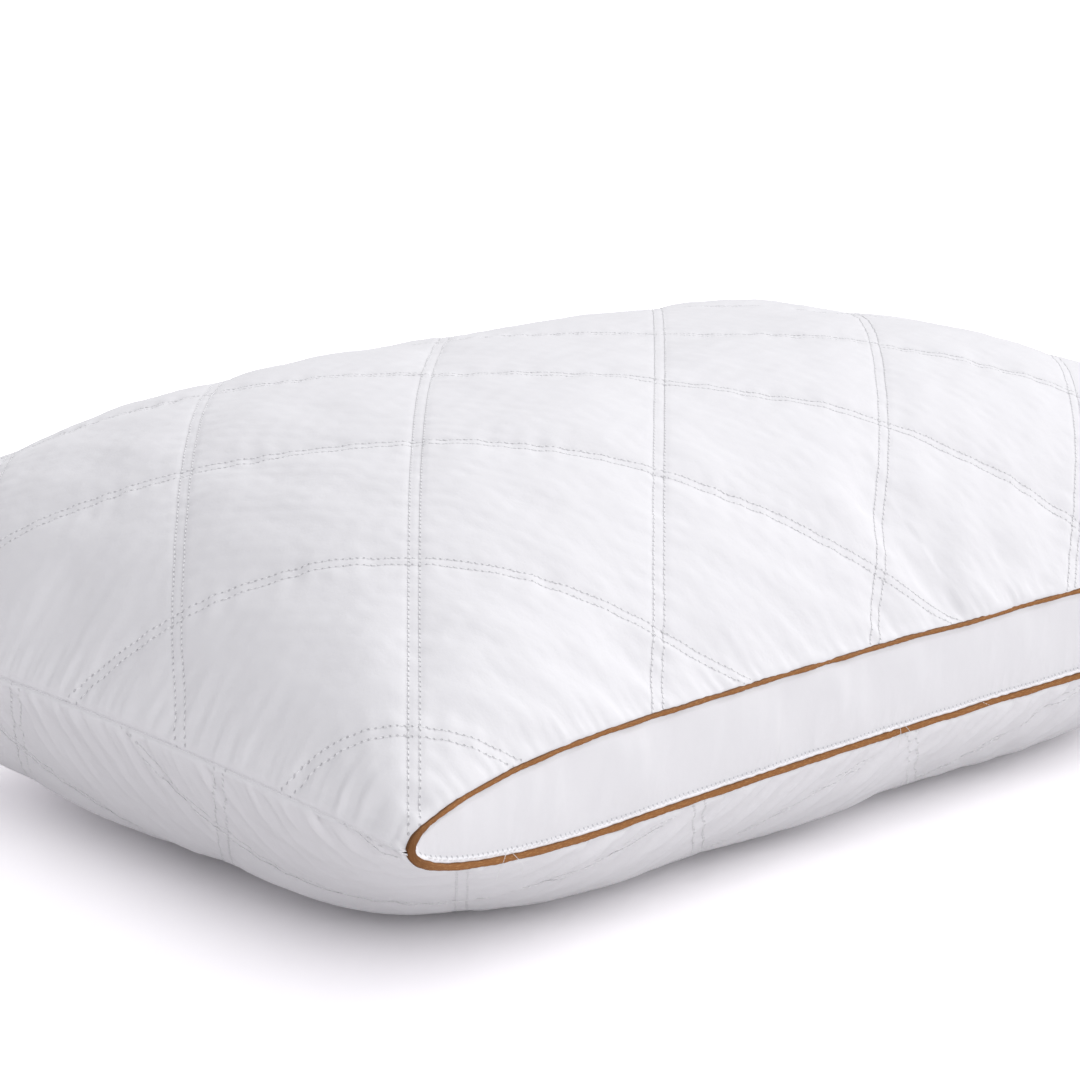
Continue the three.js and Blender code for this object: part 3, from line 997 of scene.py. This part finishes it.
def make_filling():
    """The loose filling: a lumpy body a little inside both linings."""
    us = 0.95 * np.linspace(-1, 1, 91)
    vs = 0.95 * np.linspace(-1, 1, 61)
    u, v = np.meshgrid(us, vs, indexing="ij")
    lumps = 1.2 * MM * waves(u * 0.38, v * 0.25, 60 * MM, 71)
    depth = sizes().cloth + sizes().wadding + sizes().lining + 4 * MM
    upper = panel_form(1, u, v)
    upper = upper + normals(upper) * (lumps - depth)[..., None]
    lower = panel_form(-1, u, v)
    lower = lower - normals(lower) * (lumps - depth)[..., None]
    lower[..., 2] = np.maximum(lower[..., 2], depth)
    piece = slab("filling", upper, lower, panel_map(us, vs), fibre_finish("filling"), "wadding")
    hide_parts("fill")


def sample(grid, us, vs, u, v):
    """A grid surface read between its stations, by straight lines."""
    i = np.clip(np.searchsorted(us, u) - 1, 0, len(us) - 2)
    j = np.clip(np.searchsorted(vs, v) - 1, 0, len(vs) - 2)
    s = ((u - us[i]) / (us[i + 1] - us[i]))[:, None]
    t = ((v - vs[j]) / (vs[j + 1] - vs[j]))[:, None]
    near = grid[i, j] * (1 - s) + grid[i + 1, j] * s
    far = grid[i, j + 1] * (1 - s) + grid[i + 1, j + 1] * s
    return near * (1 - t) + far * t


def make_quilting(side, family):
    """Stitches of one slanted family of double rows. Family 0 keeps p - q the same along a row
    and family 1 keeps p + q the same."""
    size = sizes()
    spacing = size.quilt_spacing
    reach = int((size.cut_length + size.cut_width) / np.sqrt(2) / spacing) + 2
    steps = int((size.cut_length + size.cut_width) / size.stitch_pitch)
    rows, pair, step = np.meshgrid(
        np.arange(-reach, reach + 1), np.array([-0.5, 0.5]), np.arange(-steps, steps + 1), indexing="ij"
    )
    shift = (-QUILT_SHIFT[side][0], QUILT_SHIFT[side][1])[family]
    across = (rows + shift) * spacing + pair * size.row_gap
    along = step * size.stitch_pitch
    if family == 0:
        p, q = (along + across) / np.sqrt(2), (along - across) / np.sqrt(2)
    else:
        p, q = (across + along) / np.sqrt(2), (across - along) / np.sqrt(2)
    from_end, from_side = seam_distances(p, q)
    inside = np.minimum(from_end, from_side) > QUILT_STOP
    p, q = p[inside], q[inside]
    us, vs, grid, outward = finished_panel(side)
    half = np.array([1.0, 1.0 if family == 0 else -1.0]) * size.stitch_pitch / 2 / np.sqrt(2)
    ends = []
    for turn in (-1, 1):
        u = (p + turn * half[0]) / size.cut_length * 2 - 1
        v = (q + turn * half[1]) / size.cut_width * 2 - 1
        ends.append(sample(grid, us, vs, u, v))
    up = unit(sample(outward, us, vs, p / size.cut_length * 2 - 1, q / size.cut_width * 2 - 1))
    direction = unit(ends[1] - ends[0])
    up = square_to(up, direction)
    centres = (ends[0] + ends[1]) / 2
    parts = stitch_bodies(centres, direction, up, size.stitch_pitch * 0.8, size.thread)
    name = f"{PANEL_NAMES[side]}_quilting_{'ab'[family]}"
    make_piece(name, *parts, thread_finish(), "thread")


# Gussets, piping and threads

GUSSET_CELL = 1.4 * MM
FOLD_START = 1.3 * MM        # middle of the piping to the gusset's folded edge
FOLD_HEIGHT = 1.25 * MM      # how far the fold stands out
TOPSTITCH_INSET = 2.1 * MM   # folded edge to its row of stitches
GUSSET_SHARES = np.sin(np.linspace(-np.pi / 2, np.pi / 2, 61))   # rows of a gusset, close at its edges


def lens_quarter(inset, angle):
    """Near end of the lens outline, drawn in by an inset: distance from mid length and height by
    angle round the superellipse, positive angles above the tip and negative ones below."""
    size = sizes()
    power = np.where(angle < 0, LOWER_BLUNTNESS, 2)
    taper = size.gusset_taper - 1.5 * inset
    middle = tip_distance() + size.gusset_taper - size.cut_length / 2
    x = middle - taper * np.abs(np.cos(angle)) ** (2 / power)
    return x, (piping_half() - inset) * np.sign(angle) * np.abs(np.sin(angle)) ** (2 / power)


def half_share(u, h):
    """Height on the side wall as a share of the lens outline's half height there."""
    half = np.where(h > 0, lens_half(corner_distance(u)), lens_half(corner_distance(u), True))
    return np.clip(h / np.maximum(half, 1e-6), -1, 1)


def piping_line(count):
    """Panel coordinates and heights round the gusset's outline, evenly spaced: out along the
    upper branch, round the far tip, back along the lower branch and round the near tip."""
    size = sizes()
    upper_x, upper_h = lens_quarter(0, np.linspace(0, np.pi / 2, 400))
    lower_x, lower_h = lens_quarter(0, -np.linspace(0, np.pi / 2, 400))
    x = np.concatenate([upper_x, -upper_x[::-1], -lower_x[1:], lower_x[::-1]])
    h = np.concatenate([upper_h, upper_h[::-1], lower_h[1:], lower_h[::-1]])
    run = running(np.hypot(np.diff(x), np.diff(h)))
    at = np.linspace(0, run[-1], count + 1)
    reach = size.corner_reach / (size.cut_length / 2)
    return np.interp(at, run, x) / (size.cut_length / 2), np.interp(at, run, h), at * reach


def wall_creases(side, u, t):
    """Creases of the casing at places on a gusset."""
    part = 2 if side < 0 else 3
    coarse = panel_stations(CASING_CELL)
    return sample(creases()[part], coarse, np.linspace(-1, 1, GUSSET_ROWS + 1), u, t)


def gusset_relief(side, x, h, from_low, from_high, share):
    """Relief of a gusset: upright slack between its seams, a folded edge standing over the lower
    piping, a groove where the topstitching holds it, and a faint line under the upper piping."""
    middle = np.clip(1 - share**2, 0, 1)
    slack = waves(x + 0.25 * h, h * 0.3, 64 * MM, 83 + side, 0.0, 0.5)
    small = waves(x - 0.2 * h, h * 0.3, 19 * MM, 89 + side, 0.0, 0.6)
    gathers = waves(x, h * 0.2, 9 * MM, 97 + side, 0.0, 0.4) * np.exp(-np.abs(from_low - 5 * MM) / (7 * MM))
    relief = (1.15 * slack + 0.3 * small) * middle * MM + 0.2 * MM * gathers
    fold = 1 / (1 + np.exp((from_low - TOPSTITCH_INSET - 0.5 * MM) / (0.2 * MM)))
    groove = np.exp(-(((from_low - TOPSTITCH_INSET - 0.2 * MM) / (0.6 * MM)) ** 2))
    rounding = np.exp(-from_low / (0.35 * MM))
    line = np.exp(-(((from_high - 2.2 * MM) / (0.45 * MM)) ** 2))
    tucked = np.exp(-from_high / (1.2 * MM))
    relief = relief + FOLD_HEIGHT * fold - 0.6 * MM * groove
    return relief - 0.5 * MM * rounding - 0.3 * MM * line - MM * tucked


def gusset_halves(u):
    """Half heights of a gusset above and below the seam line, its folded edge being the lower."""
    distance = corner_distance(u)
    return lens_half(distance), np.maximum(lens_half(distance, True) - FOLD_START, 0.2 * MM)


def gusset_places(us, ts):
    """Places on a gusset's grid: panel coordinate, share of the half height, the half height
    above, the height, and the distance from its folded lower edge."""
    u, t = np.meshgrid(us, ts, indexing="ij")
    upper, lower = gusset_halves(u)
    height = np.where(t > 0, t * upper, t * lower)
    from_tip = corner_distance(u) - tip_distance() - FOLD_START
    from_low = np.minimum(height + lower, 0.8 * from_tip + np.maximum(height, 0) * 0.5)
    return u, t, upper, height, np.maximum(from_low, 0)


def gusset_surface(side, us, ts):
    """A gusset's outside on a grid. It starts just above the lower piping, where its folded edge
    stands proud, and runs up under the upper piping."""
    u, t, upper, height, from_low = gusset_places(us, ts)
    grid = wall_form(side, u, height, upper / 8 * (1 - t**2))
    grid = grid + wall_creases(side, u.ravel(), half_share(u, height).ravel()).reshape(grid.shape)
    x = u * sizes().cut_length / 2
    relief = gusset_relief(side, x, height, from_low, upper - height, t)
    grid[..., 1] += side * relief
    return grid


def gusset_stations():
    """Panel coordinates along a gusset, from just inside one tip to just inside the other."""
    us = panel_stations(GUSSET_CELL)
    return us[corner_distance(us) > tip_distance() + FOLD_START]


def make_gusset(name, side):
    """The plain lens-shaped cloth between the two piped seams of a long side."""
    size = sizes()
    us, ts = gusset_stations(), GUSSET_SHARES
    outside = gusset_surface(side, us, ts)
    inside = outside.copy()
    inside[..., 1] -= side * size.cloth
    u, _, _, _, from_low = gusset_places(us, ts)
    cloth_map = np.stack([(u + 1) * size.cut_length / 2, from_low], -1)
    finish = gusset_cotton()
    piece = slab(name + "_gusset_cloth", outside, inside, cloth_map, finish, "gusset_cotton", side > 0)
    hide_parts(name + "_gusset")


def piping_path(side, count):
    """Middle line of a piping: points, outward and sideways directions, run of the loop, and how
    full the piping is. Its upper branch is tucked under the top panel and looks thinner."""
    u, h, run = piping_line(count)
    wobble = waves(run, 0 * run, 38 * MM, 101 + side, 0.0, 0.1) * 0.16 * MM
    tuck = 0.35 * MM * h / piping_half()
    path = wall_form(side, u, h, 0.25 * MM - tuck + wobble)
    path = path + wall_creases(side, u, half_share(u, h))
    path = path[:-1]
    tangent = unit(np.roll(path, -1, axis=0) - np.roll(path, 1, axis=0))
    out = np.tile(np.array([0.0, side * RISE, GUSSET_LEAN]), (len(path), 1))
    out = square_to(out, tangent)
    from_tip = corner_distance(u[:-1]) - tip_distance()
    swell = 0.9 - 0.16 * np.tanh(h[:-1] / (6 * MM)) + 0.32 * np.exp(-from_tip / (7 * MM))
    return path, out, np.cross(tangent, out), run, swell


STRIP_THICKNESS = 0.35 * MM
PIPING_STEPS = 1500
PIPING_SIDES = 16
PIPING_TIP_SHADE = 14 * MM   # how far round its tips the strip carries painted shade from the seam
PIPING_SLIT = np.pi / 7      # half the angle left open behind, where the strip's two edges meet


def make_piping(name, side):
    """The bias strip folded round its cord, open behind, and the cord inside it."""
    size = sizes()
    path, out, across, run, fullness = piping_path(side, PIPING_STEPS)
    turn = np.linspace(PIPING_SLIT - np.pi, np.pi - PIPING_SLIT, PIPING_SIDES)
    back = turn[::-2]
    angle = np.concatenate([turn, back])
    inner = 1 - STRIP_THICKNESS / size.piping_radius
    radius = np.concatenate([np.full(PIPING_SIDES, 1.0), np.full(len(back), inner)])
    around = running(np.abs(np.diff(angle, append=angle[0]))) * size.piping_radius
    s = run[:-1][:, None]
    theta = angle[None, :]
    pulls = 0.035 * np.sin(2 * np.pi * s / (5.1 * MM) + 2 * theta)
    pulls = pulls * (1 + 0.6 * np.sin(2 * np.pi * s / (47 * MM)))
    swell = fullness[:, None] + pulls + 0.04 * waves(s, 0 * s, 26 * MM, 103 + side, 0.0, 0.1)
    radii = size.piping_radius * radius[None, :] * swell
    rings = path[:, None] + (radii * np.cos(theta))[..., None] * out[:, None]
    rings = rings + (radii * np.sin(theta))[..., None] * across[:, None]
    from_near_tip = np.minimum(run, run[-1] - run)
    from_tips = np.minimum(from_near_tip, run[-1] / 2 - from_near_tip)
    points, faces, corner_map = sweep(rings, from_tips, around)
    piece = make_piece(name + "_piping_strip", points, [faces], [corner_map], bias_finish(), "piping")
    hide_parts(name + "_piping_cover")
    cord_angle = np.linspace(0, 2 * np.pi, 8, endpoint=False)[None, :, None]
    ring = np.cos(cord_angle) * out[::3, None] + np.sin(cord_angle) * across[::3, None]
    rings = path[::3, None] + size.cord_radius * ring
    points, faces, corner_map = sweep(rings, run[::3], np.linspace(0, 2 * np.pi * size.cord_radius, 9))
    finish = fibre_finish("piping_core")
    cord = make_piece(name + "_piping_core", points, [faces], [corner_map], finish, "cord")
    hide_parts(name + "_piping_cord")


def make_topstitch(name, side):
    """The visible row that holds down the gusset's folded lower edge, as slanted stitches. The
    front's has a few loose thread ends."""
    size = sizes()
    x, h = lens_quarter(FOLD_START + TOPSTITCH_INSET, np.linspace(-0.25, -np.pi / 2, 500))
    x = np.concatenate([x, -x[::-1]])
    h = np.concatenate([h, h[::-1]])
    run = running(np.hypot(np.diff(x), np.diff(h)))
    at = np.arange(0, run[-1], size.stitch_pitch / 2)
    u = np.interp(at, run, x) / (size.cut_length / 2)
    h = np.interp(at, run, h)
    upper, lower = gusset_halves(u)
    share = np.where(h > 0, h / np.maximum(upper, 1e-6), h / lower)
    us = gusset_stations()
    surface = gusset_surface(side, us, GUSSET_SHARES)
    points = sample(surface, us, GUSSET_SHARES, u, np.clip(share, -1, 1))
    points[:, 1] += side * 0.15 * MM
    first, middle, last = points[:-2:2], points[1:-1:2], points[2::2]
    count = min(len(first), len(middle), len(last))
    along = unit(last[:count] - first[:count])
    up = np.tile(np.array([0.0, side * RISE, GUSSET_LEAN]), (count, 1))
    up = square_to(up, along)
    slanted = unit(along + 0.22 * np.cross(up, along))
    centres = middle[:count]
    lengths = np.full((count, 1, 1), size.stitch_pitch * 0.86)
    radii = np.full((count, 1, 1), size.thread * 1.25)
    if side < 0:
        ends, headings = loose_ends(centres)
        facing = np.tile(unit(np.array([0.2, -1.0, 0.1])), (len(ends), 1))
        facing = square_to(facing, headings)
        centres = np.concatenate([centres, ends])
        slanted = np.concatenate([slanted, headings])
        up = np.concatenate([up, facing])
        lengths = np.concatenate([lengths, np.full((len(ends), 1, 1), 1.3 * MM)])
        radii = np.concatenate([radii, np.full((len(ends), 1, 1), 0.11 * MM)])
    parts = stitch_bodies(centres, slanted, up, lengths, radii)
    piece = make_piece(name + "_topstitching", *parts, thread_finish(), "thread")
    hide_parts(name + "_topstitch_thread")


# Share of the row at which each loose end hangs, and how far it leans
LOOSE_ENDS = {0.062: -0.5, 0.068: 0.35, 0.425: -0.15, 0.432: 0.3, 0.51: 0.9}


def loose_ends(row):
    """Short thread ends left hanging from the row of topstitching, down over the piping.
    Gives links 1 mm apart and their headings."""
    links = []
    headings = []
    for share, lean in LOOSE_ENDS.items():
        start = row[int(share * len(row))]
        t = np.arange(14) * MM
        x = lean * t * (1 + 0.5 * np.sin(t / (4 * MM)))
        out = 2.4 * MM * np.sin(np.clip(t / (13 * MM), 0, 1) * np.pi * 0.8)
        thread = np.stack([start[0] + x, start[1] - out, start[2] - 0.75 * t], -1)
        links.append((thread[:-1] + thread[1:]) / 2)
        headings.append(unit(np.diff(thread, axis=0)))
    return np.concatenate(links), np.concatenate(headings)


END_SEAM_STOP = 14 * MM      # the end seam's stitches stop this far from the corners


def make_end_seam(name, end):
    """The stitches of a plain end seam, sunk between the two panels."""
    size = sizes()
    _, _, grid, _ = finished_panel(1)
    edge = grid[0 if end < 0 else -1]
    run = running(np.linalg.norm(np.diff(edge, axis=0), axis=1))
    at = np.arange(END_SEAM_STOP, run[-1] - END_SEAM_STOP, size.stitch_pitch)
    middles = np.stack([np.interp(at, run, edge[:, k]) for k in range(3)], -1)
    ahead = np.stack([np.interp(at + MM, run, edge[:, k]) for k in range(3)], -1)
    along = unit(ahead - middles)
    up = np.tile(np.array([float(end), 0.0, 0.0]), (len(at), 1))
    up = square_to(up, along)
    parts = stitch_bodies(middles - up * 0.2 * MM, along, up, size.stitch_pitch * 0.85, size.thread)
    piece = make_piece(name + "_end_seam_stitches", *parts, thread_finish(), "thread")
    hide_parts(name + "_end_seam_thread")


# Operators


class PILLOW_OT_stage(bpy.types.Operator):
    """Makes the camera, the pale floor and the soft studio light"""

    bl_idname = "pillow.stage"
    bl_label = "Stage"

    def execute(self, context):
        make_camera()
        make_floor()
        make_lights()
        return {"FINISHED"}


class PILLOW_OT_panels(bpy.types.Operator):
    """Makes the top and bottom panels, each of shell, wadding and lining"""

    bl_idname = "pillow.panels"
    bl_label = "Panels"

    def execute(self, context):
        size = sizes()
        for side in PANEL_NAMES:
            make_shell(side)
            depth = size.cloth + 0.4 * MM
            make_layer(side, "wadding", depth, size.wadding, fibre_finish("wadding"))
            depth += size.wadding + 0.4 * MM
            make_layer(side, "lining", depth, size.lining, plain_cotton("lining_cotton", 0.97))
        return {"FINISHED"}


class PILLOW_OT_filling(bpy.types.Operator):
    """Makes the loose filling inside the linings"""

    bl_idname = "pillow.filling"
    bl_label = "Filling"

    def execute(self, context):
        make_filling()
        return {"FINISHED"}


class PILLOW_OT_quilting(bpy.types.Operator):
    """Sews both panels in diamonds with double rows"""

    bl_idname = "pillow.quilting"
    bl_label = "Quilting"

    def execute(self, context):
        for side in PANEL_NAMES:
            for family in (0, 1):
                make_quilting(side, family)
        return {"FINISHED"}


class PILLOW_OT_gussets(bpy.types.Operator):
    """Makes the gussets of the two long sides, with their topstitching"""

    bl_idname = "pillow.gussets"
    bl_label = "Gussets"

    def execute(self, context):
        for name, side in SIDES.items():
            make_gusset(name, side)
            make_topstitch(name, side)
        return {"FINISHED"}


class PILLOW_OT_piping(bpy.types.Operator):
    """Makes the piping round each gusset, a bias strip over its cord"""

    bl_idname = "pillow.piping"
    bl_label = "Piping"

    def execute(self, context):
        for name, side in SIDES.items():
            make_piping(name, side)
        return {"FINISHED"}


class PILLOW_OT_end_seams(bpy.types.Operator):
    """Sews the plain seams that close the two ends"""

    bl_idname = "pillow.end_seams"
    bl_label = "End Seams"

    def execute(self, context):
        for name, end in ENDS.items():
            make_end_seam(name, end)
        return {"FINISHED"}


CAMERA_PLACE = Vector((-1.0069, -1.0317, 0.4677))
CAMERA_AIM = Vector((0.0127, 0.0673, 0.1))
CAMERA_LENS = 99.5       # in millimetres, on a sensor 36 mm wide
FLOOR_REACH = 14.0       # middle of the floor to its edge


def make_camera():
    """A long lens looking down at one corner of the pillow from the front left."""
    data = bpy.data.cameras.new("camera")
    data.lens = CAMERA_LENS
    data.sensor_width = 36
    camera = bpy.data.objects.new("camera", data)
    camera.location = CAMERA_PLACE
    camera.rotation_euler = (CAMERA_AIM - CAMERA_PLACE).to_track_quat("-Z", "Y").to_euler()
    bpy.context.scene.collection.objects.link(camera)
    bpy.context.scene.camera = camera


def make_floor():
    """A level sheet far wider than the view."""
    mesh = bpy.data.meshes.new("floor")
    turns = ((-1, -1), (1, -1), (1, 1), (-1, 1))
    corners = [(x * FLOOR_REACH, y * FLOOR_REACH, 0) for x, y in turns]
    mesh.from_pydata(corners, [], [(0, 1, 2, 3)])
    mesh.materials.append(floor_finish())
    floor = bpy.data.objects.new("floor", mesh)
    bpy.context.scene.collection.objects.link(floor)


LIGHTS = {
    "key": (Vector((0.75, 0.08, 0.66)), 2.18, 0.8),     # from the right
    "fill": (Vector((-0.38, -0.74, 0.55)), 1.22, 0.6),  # low, from the front
}
ROOM_STRENGTH = 0.42


def make_lights():
    """A dim white room and two soft lights. They are distant lamps, so the floor is equally
    bright near and far."""
    world = bpy.data.worlds.new("studio")
    world.use_nodes = True
    background = world.node_tree.nodes["Background"]
    background.inputs["Color"].default_value = (0.96, 0.955, 1.0, 1.0)
    background.inputs["Strength"].default_value = ROOM_STRENGTH
    bpy.context.scene.world = world
    bpy.context.scene.view_settings.view_transform = "Standard"
    for name, (direction, strength, spread) in LIGHTS.items():
        data = bpy.data.lights.new(name, "SUN")
        data.energy = strength
        data.angle = spread
        lamp = bpy.data.objects.new(name, data)
        lamp.location = direction * 3
        lamp.rotation_euler = (-direction).to_track_quat("-Z", "Y").to_euler()
        bpy.context.scene.collection.objects.link(lamp)


class PILLOW_PT_panel(bpy.types.Panel):
    """Lists the pillow's pieces in the sidebar"""

    bl_idname = "PILLOW_PT_panel"
    bl_label = "Quilted Bed Pillow"
    bl_space_type = "VIEW_3D"
    bl_region_type = "UI"
    bl_category = "Pillow"

    def draw(self, context):
        for group in (context.scene.pillow_sizes, context.scene.pillow_colours):
            box = self.layout.box()
            for name in group.__annotations__:
                box.prop(group, name)
        for operator in OPERATORS:
            self.layout.operator(operator.bl_idname)


OPERATORS = (
    PILLOW_OT_stage,
    PILLOW_OT_panels,
    PILLOW_OT_filling,
    PILLOW_OT_quilting,
    PILLOW_OT_gussets,
    PILLOW_OT_piping,
    PILLOW_OT_end_seams,
)
CLASSES = (PillowSizes, PillowColours, *OPERATORS, PILLOW_PT_panel)


def register():
    for item in CLASSES:
        bpy.utils.register_class(item)
    bpy.types.Scene.pillow_sizes = PointerProperty(type=PillowSizes)
    bpy.types.Scene.pillow_colours = PointerProperty(type=PillowColours)


def unregister():
    del bpy.types.Scene.pillow_colours
    del bpy.types.Scene.pillow_sizes
    for item in reversed(CLASSES):
        bpy.utils.unregister_class(item)


def main():
    """Makes every piece."""
    register()
    bpy.ops.pillow.stage()
    bpy.ops.pillow.panels()
    bpy.ops.pillow.filling()
    bpy.ops.pillow.quilting()
    bpy.ops.pillow.gussets()
    bpy.ops.pillow.piping()
    bpy.ops.pillow.end_seams()


if __name__ == "__main__":
    main()
